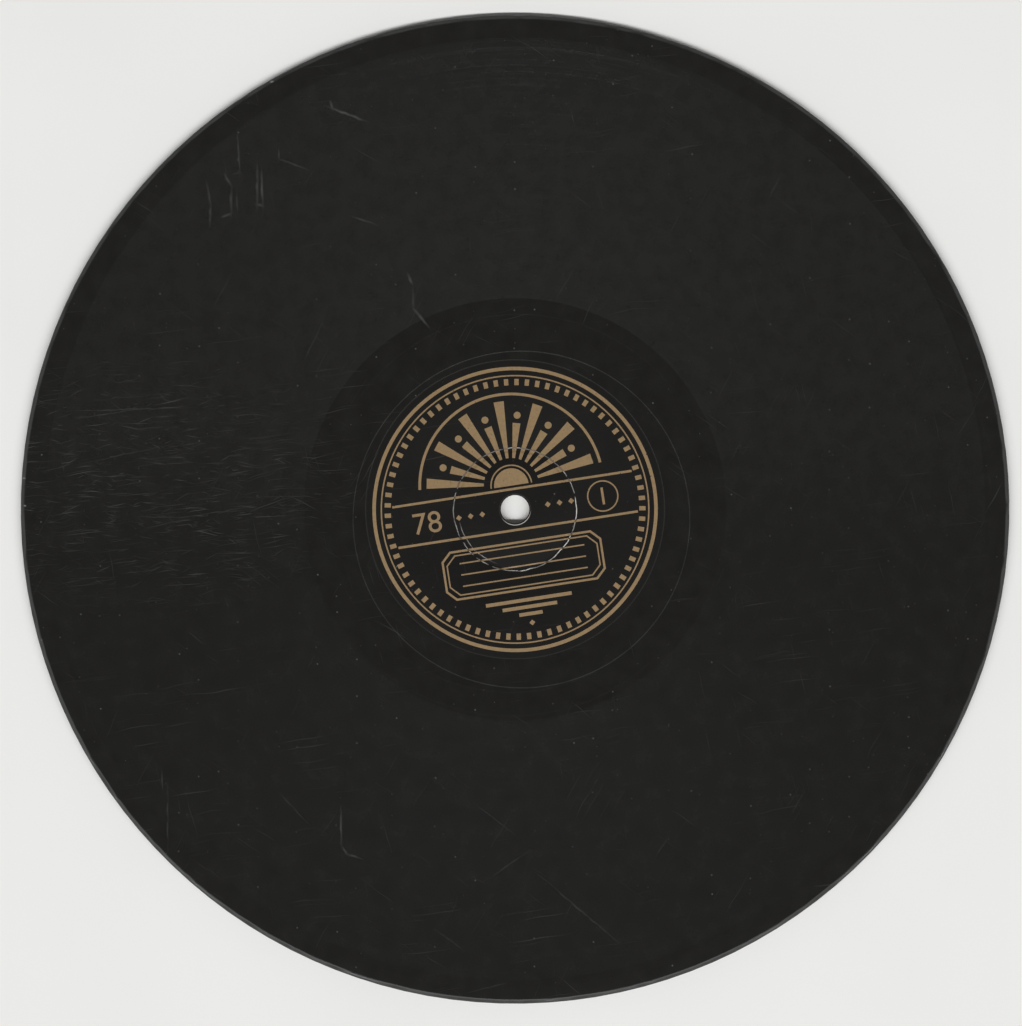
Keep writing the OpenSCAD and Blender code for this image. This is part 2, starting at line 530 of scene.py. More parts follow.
def border_and_band(sizes):
    """Border rings, the band of rules and lozenges beside the hole, and the stepped foot."""
    border_r = sizes.border_r / MM
    border_w = sizes.border_w / MM
    hair_w = sizes.hair_rule_w / MM
    inner_r = border_r - border_w - BORDER_GAP
    rule_r = STROBE_R - STROBE_BAR_L - hair_w
    pieces = [
        arc_band("border", 0, border_r, border_w, 0, math.tau),
        arc_band("border", 0, inner_r, hair_w, 0, math.tau),
        lozenge(0, FOOT_LOZENGE_Y),
    ]
    for side in (-1, 1):
        y = side * sizes.band_y / MM
        pieces.append(flat_bar("rule", y, 2 * math.sqrt(rule_r ** 2 - y ** 2), sizes.rule_w / MM))
        pieces += [lozenge(side * x, 0) for x in LOZENGE_X]
    pieces += [flat_bar("foot_bar", y, w, FOOT_BAR_H) for y, w in FOOT_BARS]
    return pieces


def drape(piece, disc):
    """Cuts the print finer where it runs over the stamped ring and lays it on the label."""
    take(piece)
    reach = disc.ring_w + DRAPE_EDGE * MM
    bpy.ops.object.mode_set(mode="EDIT")
    bpy.ops.mesh.select_all(action="SELECT")
    bpy.ops.mesh.quads_convert_to_tris()
    bpy.ops.mesh.select_mode(type="EDGE")
    for _ in range(DRAPE_ROUNDS):
        bpy.ops.mesh.select_all(action="DESELECT")
        bpy.ops.object.mode_set(mode="OBJECT")
        places = [vertex.co.copy() for vertex in piece.data.vertices]
        for edge in piece.data.edges:
            start, end = (places[corner] for corner in edge.vertices)
            along = end - start
            share = max(0, min(1, -start.dot(along) / along.length_squared))
            near = (start + along * share).length
            far = max(start.length, end.length)
            crosses = near < disc.ring_r + reach and far > disc.ring_r - reach
            edge.select = crosses and along.length > DRAPE_EDGE * MM
        bpy.ops.object.mode_set(mode="EDIT")
        bpy.ops.mesh.subdivide(number_cuts=1)
        bpy.ops.mesh.select_all(action="SELECT")
        bpy.ops.mesh.quads_convert_to_tris()
    bpy.ops.mesh.select_mode(type="VERT")
    bpy.ops.object.mode_set(mode="OBJECT")
    radii, heights = zip(*label_heights(disc))
    for vertex in piece.data.vertices:
        vertex.co.z = np.interp(vertex.co.xy.length, radii, heights)


def label_print(name, side_number):
    """The whole printed ornament of one label, as a film of ink on side A."""
    disc = bpy.context.scene.record_disc
    sizes = bpy.context.scene.record_print
    height = sizes.numeral_h / MM
    pieces = border_and_band(sizes) + fan(sizes) + title_panel(sizes.hair_rule_w / MM) + strobe_ring()
    pieces.append(numeral("speed", "78", -NUMERAL_X, height))
    pieces.append(numeral("side", side_number, NUMERAL_X, height * SIDE_NUMERAL_SHARE))
    ring = arc_band("side_ring", 0, NUMERAL_RING_R, sizes.hair_rule_w / MM, 0, math.tau)
    ring.data.transform(Matrix.Translation((NUMERAL_X * MM, 0, 0)))
    pieces.append(ring)
    bpy.ops.object.select_all(action="DESELECT")
    for piece in pieces:
        piece.select_set(True)
    ink = pieces[0]
    bpy.context.view_layer.objects.active = ink
    bpy.ops.object.join()
    ink.name = name
    ink.data.transform(Matrix.Rotation(sizes.tilt, 4, "Z"))
    drape(ink, disc)
    thicken = ink.modifiers.new("ink", "SOLIDIFY")
    thicken.thickness = sizes.ink_t
    thicken.offset = 1
    bpy.ops.object.modifier_apply(modifier=thicken.name)
    return ink


def plug(tree, inputs, values):
    """Gives each of these inputs a value or another node's output."""
    for key, value in values.items():
        if isinstance(value, bpy.types.NodeSocket):
            tree.links.new(value, inputs[key])
        else:
            inputs[key].default_value = value


def node(tree, kind, inputs=None, **settings):
    """Adds a node with these settings and inputs, and gives back its outputs.

    In a Map Range, inputs 1 and 2 are the range that goes in, and 3 and 4 the range that comes out.
    In a Mix, inputs 6 and 7 are the two colours.
    """
    made = tree.nodes.new("ShaderNode" + kind)
    for name, value in settings.items():
        setattr(made, name, value)
    plug(tree, made.inputs, inputs or {})
    return made.outputs


def new_material(name):
    """Material, its nodes, the inputs of its one shader, and the place of a point on the piece."""
    material = bpy.data.materials.new(name)
    material.use_nodes = True
    tree = material.node_tree
    return material, tree, tree.nodes["Principled BSDF"].inputs, node(tree, "TexCoord")["Object"]


def per_mm(size):
    """Scale of a pattern whose features are this many millimetres wide."""
    return 1 / (size * MM)


def on_face(tree, place):
    """Place of a point on the face, without its height, and its distance from the middle."""
    flat = node(tree, "VectorMath", {0: place, 1: (1, 1, 0)}, operation="MULTIPLY")[0]
    return flat, node(tree, "VectorMath", {0: flat}, operation="LENGTH")["Value"]


# Levels between which noise nearly always lies, and its middle
NOISE_LOW = 0.3
NOISE_HIGH = 0.7
NOISE_MIDDLE = 0.5


def patches(tree, place, size, detail, least, most, start=NOISE_LOW, end=NOISE_HIGH, **layer):
    """Cloudy patches this many millimetres wide, which go from least to most between two levels of noise.

    A layer, given as W, has its patches in other places.
    """
    cloud = {"Vector": place, "Scale": per_mm(size), "Detail": detail, **layer}
    cloud = node(tree, "TexNoise", cloud, noise_dimensions="4D" if layer else "3D")[0]
    return node(tree, "MapRange", {0: cloud, 1: start, 2: end, 3: least, 4: most})[0]


def mottled(tree, colour, pattern, darkest, palest):
    """A colour that a pattern of noise makes darker and paler in places."""
    shade = node(tree, "MapRange", {0: pattern, 1: NOISE_LOW, 2: NOISE_HIGH, 3: darkest, 4: palest})[0]
    return node(tree, "VectorMath", {0: colour, "Scale": shade}, operation="SCALE")[0]


def strongest(tree, marks):
    """Whichever of these marks shows most at a point."""
    most = marks[0]
    for mark in marks[1:]:
        most = node(tree, "Math", {0: most, 1: mark}, operation="MAXIMUM")[0]
    return most


def add_up(tree, level, parts):
    """Adds these parts to a level, each times its weight."""
    for part, weight in parts:
        level = node(tree, "Math", {0: part, 1: weight, 2: level}, operation="MULTIPLY_ADD")[0]
    return level


def gap_from(tree, value, level):
    """How far a value lies from a level, on either side of it."""
    gap = node(tree, "Math", {0: value, 1: level}, operation="SUBTRACT")[0]
    return node(tree, "Math", {0: gap}, operation="ABSOLUTE")[0]


# Sizes of wear are in millimetres. Scuffs on side A: half width, how strongly each shows, its corners
SCUFFS = (
    (0.35, 0.16, ((-46.8, 103.2), (-46.3, 101.6), (-38.2, 98.6))),
    (0.25, 0.10, ((-70.4, 95.2), (-69.8, 85.3), (-71.3, 85.0))),
    (0.25, 0.10, ((-59.9, 91.1), (-59.9, 88.9), (-53.2, 86.4))),
    (0.35, 0.12, ((-65.4, 86.6), (-65.4, 77.3), (-64.0, 76.9), (-64.3, 85.7))),
    (0.35, 0.10, ((-73.5, 84.8), (-72.0, 82.1), (-72.0, 75.0), (-74.0, 74.2))),
    (0.25, 0.06, ((-70.6, 80.7), (-70.4, 75.3))),
    (0.35, 0.10, ((-78.1, 82.3), (-77.2, 77.1), (-77.4, 72.6))),
    (0.25, 0.10, ((-40.9, 74.2), (-35.5, 72.3))),
    (0.35, 0.16, ((-27.1, 59.4), (-26.2, 57.4))),
    (0.30, 0.06, ((-25.9, 55.8), (-25.7, 51.0))),
    (0.35, 0.18, ((-25.3, 50.4), (-22.3, 46.7))),
    (0.25, 0.07, ((-89.6, -66.6), (-89.4, -70.5))),
    (0.25, 0.06, ((-88.1, -71.6), (-88.1, -84.8))),
    (0.30, 0.12, ((-44.1, -76.6), (-44.1, -85.2), (-42.5, -87.5), (-39.3, -88.4))),
    (0.20, 0.05, ((-59.3, -72.3), (-52.7, -79.5))),
    (0.25, 0.06, ((7.6, -94.0), (25.9, -109.6))),
    (0.20, 0.06, ((-9.0, -75.6), (-0.8, -81.9))),
    (0.25, 0.05, ((2.6, -87.2), (-6.1, -93.3))),
    (0.25, 0.05, ((-19.7, -107.0), (-13.9, -111.1))),
    (0.20, 0.05, ((-11.0, -122.3), (-3.2, -120.3))),
    (0.15, 0.10, ((-112.2, 25.0), (-84.7, 25.7))),
    (0.15, 0.10, ((-110.1, 23.2), (-96.1, 25.3))),
    (0.15, 0.09, ((-94.5, -1.9), (-84.2, -2.0), (-68.1, 0.4))),
    (0.15, 0.12, ((-66.0, -2.0), (-57.7, -1.5))),
    (0.15, 0.08, ((-56.7, 3.3), (-51.0, 0.2))),
    (0.15, 0.07, ((-107.5, 12.1), (-90.9, 15.7))),
    (0.25, 0.80, ((-124.8, 7.9), (-124.4, 7.9))),
    (0.25, 0.80, ((-124.6, 1.0), (-124.2, 1.0))),
    (0.25, 0.70, ((-61.9, 108.4), (-61.4, 108.6))),
)
# The same for side B, which the photograph does not show
SCUFFS_B = (
    (0.30, 0.12, ((58.0, 71.0), (60.5, 66.0), (66.0, 64.5))),
    (0.25, 0.08, ((-84.0, 31.0), (-79.0, 24.5))),
    (0.30, 0.10, ((30.0, -88.0), (30.5, -79.0))),
)
# How far a scuff runs past its corners, so that its faded ends overlap
SCUFF_OVERRUN = 0.2
# Half widths from its middle line at which a scuff starts to show, and shows in full
SCUFF_START = 1.3
SCUFF_FULL = 0.1
# Scuffs and scratches waver: over how many millimetres, and by how much
SCUFF_WAVER = (2.5, 0.3)
SCRATCH_WAVER = (16, 1.6)
# Fine scratches all over: direction in degrees, length, spacing across, noise above which they show, strength
HAIRLINES = (
    (8, 24, 0.5, 0.68, 0.12),
    (-35, 18, 0.5, 0.70, 0.10),
    (62, 22, 0.5, 0.70, 0.10),
    (104, 16, 0.5, 0.71, 0.10),
)
# A denser field of the same, where the disc was slid in and out of its sleeve
SLEEVE_LINES = (
    (4, 13, 0.4, 0.66, 0.32),
    (-8, 8, 0.35, 0.67, 0.32),
    (13, 17, 0.45, 0.68, 0.32),
    (26, 7, 0.4, 0.7, 0.28),
    (-30, 6, 0.4, 0.7, 0.28),
    (2, 4, 0.3, 0.71, 0.4),
    (17, 5, 0.3, 0.72, 0.4),
)
# Rise of the noise over which a fine scratch reaches its strength
LINE_RISE = 0.1
# Middle of the sleeve's field, its reach, and the share of that within which it is full
SLEEVE_CENTRE = (-92, 7)
SLEEVE_REACH = (56, 36)
SLEEVE_FULL = 0.4
# Patches: width, detail, least and most, and their levels of noise where these aren't the usual ones
FILM = (5, 5, 0, 0.0186)
HAIRLINE_PATCHES = (22, 2, 0, 1, 0.46, 0.66)
SLEEVE_PATCHES = (7, 2, 0.3, 1.2, 0.4, 0.7)
SCUFF_PATCHES = (2.5, 3, 0.6, 2, 0.35, 0.65)
DUST_PATCHES = (5, 3, 0.07, 0.16)
# The patches on the edge grey it with rub and with a painted highlight
EDGE_RUB_AND_HIGHLIGHT = (6, 4, 0.02, 0.1)
CRACK_BREAKS = (2.2, 4, 0, 1, 0.38, 0.5)
CRACK_STRETCHES = (8, 1, 0.25, 0.95, 0.36, 0.52)
INK_PINHOLES = (0.55, 2, 0, 1, 0.68, 0.74)
# Dust: size of its cells, radius of a speck as a share of that, share of the cells without one, strength
DUST = (
    (5, 0.055, 0.88, 0.4),
    (2.6, 0.06, 0.92, 0.3),
)
# Shares of a speck's radius, and of the stop groove's width, within which the dust is full
SPECK_FULL = 1 / 3
GROOVE_DUST_FULL = 0.2
# Chips along the edge: size of their cells, shares of it at which a chip starts and is full, share of the
# cells without one, and their fade outwards from where the edge starts to round
RIM_CHIPS = (2.5, 0.14, 0.06, 0.88, 0.3)
# Rub and painted highlight along the edge: where they start and are full, outwards from the same place
EDGE_FADE = (-0.5, 0.1)

# Patterns in the pressed shellac, in millimetres: loud and quiet passages, smudges, mineral filler, drawn
# coarser than its real 0.05 mm so that it shows, and turns whose walls lean alike
PASSAGE_W = 2.2
SMUDGE_W = 28
GRIT_W = 0.7
LEAN_W = 0.6
# How high the grit stands, and how far walls lean
GRIT_H = 0.01
LEAN_H = 0.018
# How much of the worn colour each adds in the recorded band
SMUDGE_TONE = 0.002
PASSAGE_TONE = 0.003
GRIT_TONE = 0.008
# Painted sheen in the band, lighter round a line towards the top of the face: its middle line up the face,
# how far off that it starts and is full, and its tone
PAINTED_SHEEN = (55, 65, 35, 0.0105)
# What handling adds on the face and on the smooth rim
FACE_TONE = 0.007
RIM_TONE = 0.012
# Fades at either end of the band and at the rim, in millimetres
BAND_FADE = 0.4
RIM_FADE = 0.5
# Least and most roughness of the polish, and what marks, the rubbed edge and the lip of the recess add to it
POLISH = (0.09, 0.115)
MARKS_DULL = 0.3
EDGE_DULL = 9
LIP_DULL = 0.5
# Half width of the dull strip on that lip, in widths of the lip
LIP_STRIP = 1.1


def pressed_shellac(name, scuffs):
    """Filled shellac moulded on a polished stamper: near black, low polish, greyed by scuffs and dust."""
    disc = bpy.context.scene.record_disc
    groove = bpy.context.scene.record_groove
    finish = bpy.context.scene.record_finish
    material, tree, shader, place = new_material(name)
    flat, radius = on_face(tree, place)
    smudge = node(tree, "TexNoise", {"Vector": place, "Scale": per_mm(SMUDGE_W), "Detail": 4})[0]
    grit = node(tree, "TexNoise", {"Vector": place, "Scale": per_mm(GRIT_W), "Detail": 2})[0]
    passage, lean = (
        node(tree, "TexNoise", {"W": radius, "Scale": per_mm(w), "Detail": detail}, noise_dimensions="1D")[0]
        for w, detail in ((PASSAGE_W, 3), (LEAN_W, 2))
    )
    # The edge's grey is partly rub and partly a painted highlight along the rounded edge
    edge = edge_rub_and_highlight(tree, place, radius, disc)
    scratched = wavering(tree, flat, *SCRATCH_WAVER)
    marks = strongest(tree, [
        hairlines(tree, scratched),
        sleeve_lines(tree, scratched),
        groove_dust(tree, flat, groove),
        rim_chips(tree, place, radius, disc),
        edge,
        scuff_marks(tree, flat, scuffs),
        *(dust_specks(tree, flat, *grade) for grade in DUST),
    ])
    # Needle wear greys the recorded band and a painted sheen lightens its upper part, under a thin uneven
    # film of dust and handling
    band_out = disc.disc_r - groove.rim_w
    band_in = groove.last_turn_r - BAND_FADE * MM / 2
    band = node(tree, "MapRange", {0: radius, 1: band_out, 2: band_out - BAND_FADE * MM})[0]
    band = node(tree, "MapRange", {0: radius, 1: band_in, 2: band_in + BAND_FADE * MM, 4: band})[0]
    # The sheen is painted: a lighter tone round a line towards the top of the face
    middle, start, full, most = PAINTED_SHEEN
    off = gap_from(tree, node(tree, "SeparateXYZ", {0: place})[1], middle * MM)
    painted_sheen = node(tree, "MapRange", {0: off, 1: start * MM, 2: full * MM, 4: most})[0]
    tone = add_up(tree, painted_sheen, [(smudge, SMUDGE_TONE), (passage, PASSAGE_TONE), (grit, GRIT_TONE)])
    tone = add_up(tree, patches(tree, flat, *FILM), [(band, tone)])
    # Fingers grey the smooth rim
    rim_in = band_out + RIM_FADE * MM
    grip = node(tree, "MapRange", {0: radius, 1: band_out, 2: rim_in, 3: FACE_TONE, 4: RIM_TONE})[0]
    tone = node(tree, "Math", {0: tone, 1: grip}, operation="ADD")[0]
    # Wear and painted sheen and highlight together, towards the pale grey
    wear_and_sheen = node(tree, "Math", {0: marks, 1: tone}, operation="ADD", use_clamp=True)[0]
    colours = {0: wear_and_sheen, 6: (*finish.shellac, 1), 7: (*finish.worn_and_sheen_shellac, 1)}
    tint = node(tree, "Mix", colours, data_type="RGBA")[2]
    # Paper dust dulls the lip of the label's recess
    strip = disc.label_lip * LIP_STRIP
    lip = node(tree, "Math", {0: radius, 1: disc.label_r, 2: strip}, operation="COMPARE")[0]
    least, most = POLISH
    polish = node(tree, "MapRange", {0: smudge, 1: NOISE_LOW, 2: NOISE_HIGH, 3: least, 4: most})[0]
    polish = add_up(tree, polish, [(marks, MARKS_DULL), (edge, EDGE_DULL), (lip, LIP_DULL)])
    relief = node(tree, "Bump", {"Height": grit, "Strength": 0.15, "Distance": GRIT_H * MM})[0]
    # Walls that lean a little differently from turn to turn break a glint into rings
    leaning = {"Height": lean, "Strength": band, "Distance": LEAN_H * MM, "Normal": relief}
    relief = node(tree, "Bump", leaning)[0]
    # The polish has a faint cold cast
    cast = (0.95, 1, 0.985, 1)
    plug(tree, shader, {"Base Color": tint, "Roughness": polish, "Normal": relief})
    plug(tree, shader, {"IOR": 1.54, "Specular Tint": cast})
    return material


def wavering(tree, flat, size, reach):
    """Place of a point, shifted to and fro so that what is straight wavers."""
    shift = node(tree, "TexNoise", {"Vector": flat, "Scale": per_mm(size), "Detail": 2})["Color"]
    shift = node(tree, "VectorMath", {0: shift, 1: [NOISE_MIDDLE] * 3}, operation="SUBTRACT")[0]
    across = (2 * reach * MM, 2 * reach * MM, 0)
    return node(tree, "VectorMath", {0: shift, 1: across, 2: flat}, operation="MULTIPLY_ADD")[0]


def fine_lines(tree, flat, direction, run, spacing, cut, strength):
    """Fine scratches in one direction: noise drawn out along it, where it rises over a level."""
    drawn = {0: flat, 2: (0, 0, math.radians(direction)), 3: (run * MM, spacing * MM, 1)}
    grain = node(tree, "Mapping", drawn, vector_type="TEXTURE")[0]
    line = node(tree, "TexNoise", {"Vector": grain, "Scale": 1, "Detail": 1})[0]
    return node(tree, "MapRange", {0: line, 1: cut, 2: cut + LINE_RISE, 4: strength})[0]


def hairlines(tree, flat):
    """Fine scratches in a few directions, each in its own patches."""
    lines = []
    for direction, *line in HAIRLINES:
        patch = patches(tree, flat, *HAIRLINE_PATCHES, W=direction)
        lines.append((fine_lines(tree, flat, direction, *line), patch))
    return add_up(tree, 0, lines)


def sleeve_lines(tree, flat):
    """The denser field of fine scratches, fading out from its middle."""
    centre = (*(place * MM for place in SLEEVE_CENTRE), 0)
    reach = (*(radius * MM for radius in SLEEVE_REACH), 1)
    near = node(tree, "Mapping", {0: flat, 1: centre, 3: reach}, vector_type="TEXTURE")[0]
    near = node(tree, "VectorMath", {0: near}, operation="LENGTH")["Value"]
    field = node(tree, "MapRange", {0: near, 1: 1, 2: SLEEVE_FULL})[0]
    patch = patches(tree, flat, *SLEEVE_PATCHES)
    field = node(tree, "Math", {0: field, 1: patch}, operation="MULTIPLY")[0]
    return add_up(tree, 0, [(fine_lines(tree, flat, *line), field) for line in SLEEVE_LINES])


def scuff_marks(tree, flat, scuffs):
    """All the scuffs of one side, stronger in places."""
    rubbed = wavering(tree, flat, *SCUFF_WAVER)
    lines = [scuff_line(tree, rubbed, *piece) for scuff in scuffs for piece in scuff_pieces(*scuff)]
    marks = {0: strongest(tree, lines), 1: patches(tree, flat, *SCUFF_PATCHES)}
    return node(tree, "Math", marks, operation="MULTIPLY")[0]


def scuff_pieces(half_w, strength, corners):
    """Straight pieces of a scuff: half width, strength, middle and half run."""
    for start, end in zip(corners, corners[1:]):
        start = Vector(start)
        end = Vector(end)
        yield half_w, strength, (start + end) / 2, (end - start) / 2


def scuff_line(tree, flat, half_w, strength, middle, half_run):
    """One straight scuff that fades towards its sides and ends."""
    reach = half_run.length * (1 + SCUFF_OVERRUN) + half_w
    turn = (0, 0, math.atan2(half_run.y, half_run.x))
    laid = {0: flat, 1: (*middle * MM, 0), 2: turn, 3: (reach * MM, half_w * MM, 1)}
    along = node(tree, "Mapping", laid, vector_type="TEXTURE")[0]
    gap = node(tree, "VectorMath", {0: along}, operation="LENGTH")["Value"]
    fade = {0: gap, 1: SCUFF_START, 2: SCUFF_FULL, 4: strength}
    return node(tree, "MapRange", fade, interpolation_type="SMOOTHSTEP")[0]


def groove_dust(tree, flat, groove):
    """Pale dust caught in the stop groove, thicker in places."""
    direction = Vector((math.cos(groove.stop_direction), math.sin(groove.stop_direction), 0))
    centre = direction * groove.stop_offset
    off = node(tree, "VectorMath", {0: flat, 1: centre}, operation="DISTANCE")["Value"]
    gap = gap_from(tree, off, groove.stop_r)
    patch = patches(tree, flat, *DUST_PATCHES)
    full = groove.stop_w * GROOVE_DUST_FULL
    return node(tree, "MapRange", {0: gap, 1: groove.stop_w / 2, 2: full, 4: patch})[0]


def rim_chips(tree, place, radius, disc):
    """Small pale chips along the moulded edge."""
    cell, start, full, bare, fade = RIM_CHIPS
    cells = node(tree, "TexVoronoi", {"Vector": place, "Scale": per_mm(cell)})
    chip = node(tree, "MapRange", {0: cells["Distance"], 1: start, 2: full})[0]
    chance = node(tree, "SeparateXYZ", {0: cells["Color"]})[0]
    chosen = node(tree, "Math", {0: chance, 1: bare}, operation="GREATER_THAN")[0]
    chip = node(tree, "Math", {0: chip, 1: chosen}, operation="MULTIPLY")[0]
    edge_in = disc.disc_r - disc.edge_r
    edge = node(tree, "MapRange", {0: radius, 1: edge_in, 2: edge_in + fade * MM})[0]
    return node(tree, "Math", {0: chip, 1: edge}, operation="MULTIPLY")[0]


def edge_rub_and_highlight(tree, place, radius, disc):
    """The moulded edge, rubbed dull by hands and sleeves, and greyed partly by rub and partly by a painted
    highlight, more in places.
    """
    rub = patches(tree, place, *EDGE_RUB_AND_HIGHLIGHT)
    edge_in = disc.disc_r - disc.edge_r
    start, full = EDGE_FADE
    return node(tree, "MapRange", {0: radius, 1: edge_in + start * MM, 2: edge_in + full * MM, 4: rub})[0]


def dust_specks(tree, flat, cell, radius, bare, strength):
    """Pale specks, one in some of the cells of a pattern, each of its own strength."""
    pattern = {"Vector": flat, "Scale": per_mm(cell)}
    cells = node(tree, "TexVoronoi", pattern, voronoi_dimensions="2D")
    chance = node(tree, "SeparateXYZ", {0: cells["Color"]})[0]
    shown = node(tree, "MapRange", {0: chance, 1: bare, 2: 1, 4: strength})[0]
    return node(tree, "MapRange", {0: cells["Distance"], 1: radius, 2: radius * SPECK_FULL, 4: shown})[0]


# Cracks along the stamped ring: place across its width, the side on which each shows most, and how strongly
# it shows opposite that side and on it
RING_CRACKS = (
    (0.35, (0.9, -0.43, 0), 0.4, 1),
    (-0.45, (-0.75, -0.66, 0), -7, 0.7),
)
# How they waver, in millimetres along and across, and how far from its line a crack starts and is full
CRACK_WAVER = (3, 0.7)
CRACK_FADE = (0.15, 0.06)


def ring_gap(tree, flat, radius, across):
    """Distance from a wavering line along the stamped ring, at this share of its width."""
    disc = bpy.context.scene.record_disc
    size, reach = CRACK_WAVER
    waver = node(tree, "TexNoise", {"Vector": flat, "Scale": per_mm(size), "Detail": 3})[0]
    waver = add_up(tree, radius, [(waver, reach * MM)])
    return gap_from(tree, waver, disc.ring_r + disc.ring_w * across + reach * MM * NOISE_MIDDLE)


def ring_chips(tree, flat, radius):
    """Where the stamped ring has cracked the printed surface: thin broken lines along its lips."""
    disc = bpy.context.scene.record_disc
    breaks = {0: patches(tree, flat, *CRACK_BREAKS), 1: patches(tree, flat, *CRACK_STRETCHES)}
    breaks = node(tree, "Math", breaks, operation="MULTIPLY")[0]
    start, full = CRACK_FADE
    cracks = []
    for across, side, least, most in RING_CRACKS:
        gap = ring_gap(tree, flat, radius, across)
        towards = Vector(side) / disc.ring_r
        worn = node(tree, "VectorMath", {0: flat, 1: towards}, operation="DOT_PRODUCT")["Value"]
        worn = node(tree, "MapRange", {0: worn, 1: -1, 2: 1, 3: least, 4: most})[0]
        line = node(tree, "MapRange", {0: gap, 1: start * MM, 2: full * MM})[0]
        cracks.append(node(tree, "Math", {0: line, 1: worn}, operation="MULTIPLY")[0])
    return node(tree, "Math", {0: strongest(tree, cracks), 1: breaks}, operation="MULTIPLY")[0]


# Paper fibres, drawn coarser than their real 0.03 mm so that they show: length and width
FIBRE = (1.6, 0.35)
FIBRE_H = 0.02
FIBRE_TONE = 0.012
PAPER_CLOUD_W = 9
# The pale cut edge: how far in it starts and is full, and its tone
CUT_EDGE = (0.3, 0.1, 0.02)
# The mouth of the hole is pale cut paper all round, with a painted highlight on one side, towards the lamp:
# how far out this starts and is full, its least and most, and the turns away from that side, as cosines,
# between which it goes from one to the other
MOUTH_HIGHLIGHT_SIDE = (0.24, -0.97, 0)
MOUTH_FADE = (0.25, 0.1)
MOUTH_TONE = (0.03, 0.7)
MOUTH_HIGHLIGHT_TURN = (0.3, 0.85)
# Share of the scratches and the dust that shows on paper
PAPER_MARKS = 0.3


def pale_mouth_and_highlight(tree, flat, radius, disc):
    """Pale cut paper round the spindle hole, with a painted highlight that makes it palest on the side
    towards the lamp.
    """
    mouth_r = disc.hole_r + disc.hole_lip
    towards = Vector(MOUTH_HIGHLIGHT_SIDE) / mouth_r
    turn = node(tree, "VectorMath", {0: flat, 1: towards}, operation="DOT_PRODUCT")["Value"]
    far, near = MOUTH_HIGHLIGHT_TURN
    least, most = MOUTH_TONE
    mouth_tone = node(tree, "MapRange", {0: turn, 1: far, 2: near, 3: least, 4: most})[0]
    start, full = MOUTH_FADE
    return node(tree, "MapRange", {0: radius, 1: mouth_r + start * MM, 2: mouth_r + full * MM, 4: mouth_tone})[0]


def label_paper():
    """Coated paper printed black and pressed into hot shellac: matt and fibrous, with a pale cut edge."""
    disc = bpy.context.scene.record_disc
    finish = bpy.context.scene.record_finish
    material, tree, shader, place = new_material("black_label_paper")
    flat, radius = on_face(tree, place)
    grain = node(tree, "Mapping", {0: flat, 3: (*Vector(FIBRE) * MM, 1)}, vector_type="TEXTURE")[0]
    fibre = node(tree, "TexNoise", {"Vector": grain, "Scale": 1, "Detail": 3})[0]
    cloud = node(tree, "TexNoise", {"Vector": place, "Scale": per_mm(PAPER_CLOUD_W), "Detail": 3})[0]
    start, full, most = CUT_EDGE
    fade = {0: radius, 1: disc.label_r - start * MM, 2: disc.label_r - full * MM, 4: most}
    cut = node(tree, "MapRange", fade)[0]
    # Pale cut paper round the hole, with a painted highlight on one side
    mouth = pale_mouth_and_highlight(tree, flat, radius, disc)
    scratched = wavering(tree, flat, *SCRATCH_WAVER)
    marks = strongest(tree, [
        hairlines(tree, scratched),
        sleeve_lines(tree, scratched),
        *(dust_specks(tree, flat, *grade) for grade in DUST),
    ])
    marks = node(tree, "Math", {0: marks, 1: PAPER_MARKS}, operation="MULTIPLY")[0]
    pale = strongest(tree, [mouth, cut, marks, ring_chips(tree, flat, radius)])
    tone = node(tree, "Math", {0: fibre, 1: cloud}, operation="MULTIPLY")[0]
    tone = add_up(tree, pale, [(tone, FIBRE_TONE)])
    colours = {0: tone, 6: (*finish.label_black, 1), 7: (*finish.bare_paper, 1)}
    tint = node(tree, "Mix", colours, data_type="RGBA")[2]
    relief = node(tree, "Bump", {"Height": fibre, "Strength": 0.2, "Distance": FIBRE_H * MM})[0]
    plug(tree, shader, {"Base Color": tint, "Normal": relief})
    plug(tree, shader, {"Roughness": 0.6, "IOR": 1.47, "Specular IOR Level": 0.12})
    return material


# Bronze powder lies in clots, drawn coarser than the real 0.02 mm flakes, and varies the ink's shade
CLOT_W = 0.8
CLOT_H = 0.01
INK_SHADES = (0.9, 1.08)
# Painted shade in the crease of the stamped ring, along its first crack: how far off it starts and is full,
# and its tone
CREASE_SHADE = (0.35, 0.1, 0.6)


def bronze_ink():
    """Bronze powder ink on paper: matt and mottled, with pinholes where it has worn."""
    finish = bpy.context.scene.record_finish
    material, tree, shader, place = new_material("bronze_ink")
    black = (*finish.label_black, 1)
    mottle = node(tree, "TexNoise", {"Vector": place, "Scale": per_mm(CLOT_W), "Detail": 3})[0]
    ink = mottled(tree, finish.bronze_ink, mottle, *INK_SHADES)
    pinholes = patches(tree, place, *INK_PINHOLES)
    worn = node(tree, "Mix", {0: pinholes, 6: ink, 7: black}, data_type="RGBA")[2]
    # The stamped ring has broken the ink, and painted shade darkens it along the crease
    flat, radius = on_face(tree, place)
    gap = ring_gap(tree, flat, radius, RING_CRACKS[0][0])
    start, full, most = CREASE_SHADE
    crease_shade = node(tree, "MapRange", {0: gap, 1: start * MM, 2: full * MM, 4: most})[0]
    broken_and_shaded = strongest(tree, [ring_chips(tree, flat, radius), crease_shade])
    tint = node(tree, "Mix", {0: broken_and_shaded, 6: worn, 7: black}, data_type="RGBA")[2]
    relief = node(tree, "Bump", {"Height": mottle, "Strength": 0.2, "Distance": CLOT_H * MM})[0]
    plug(tree, shader, {"Base Color": tint, "Normal": relief, "Metallic": 0.15, "Roughness": 0.55})
    return material


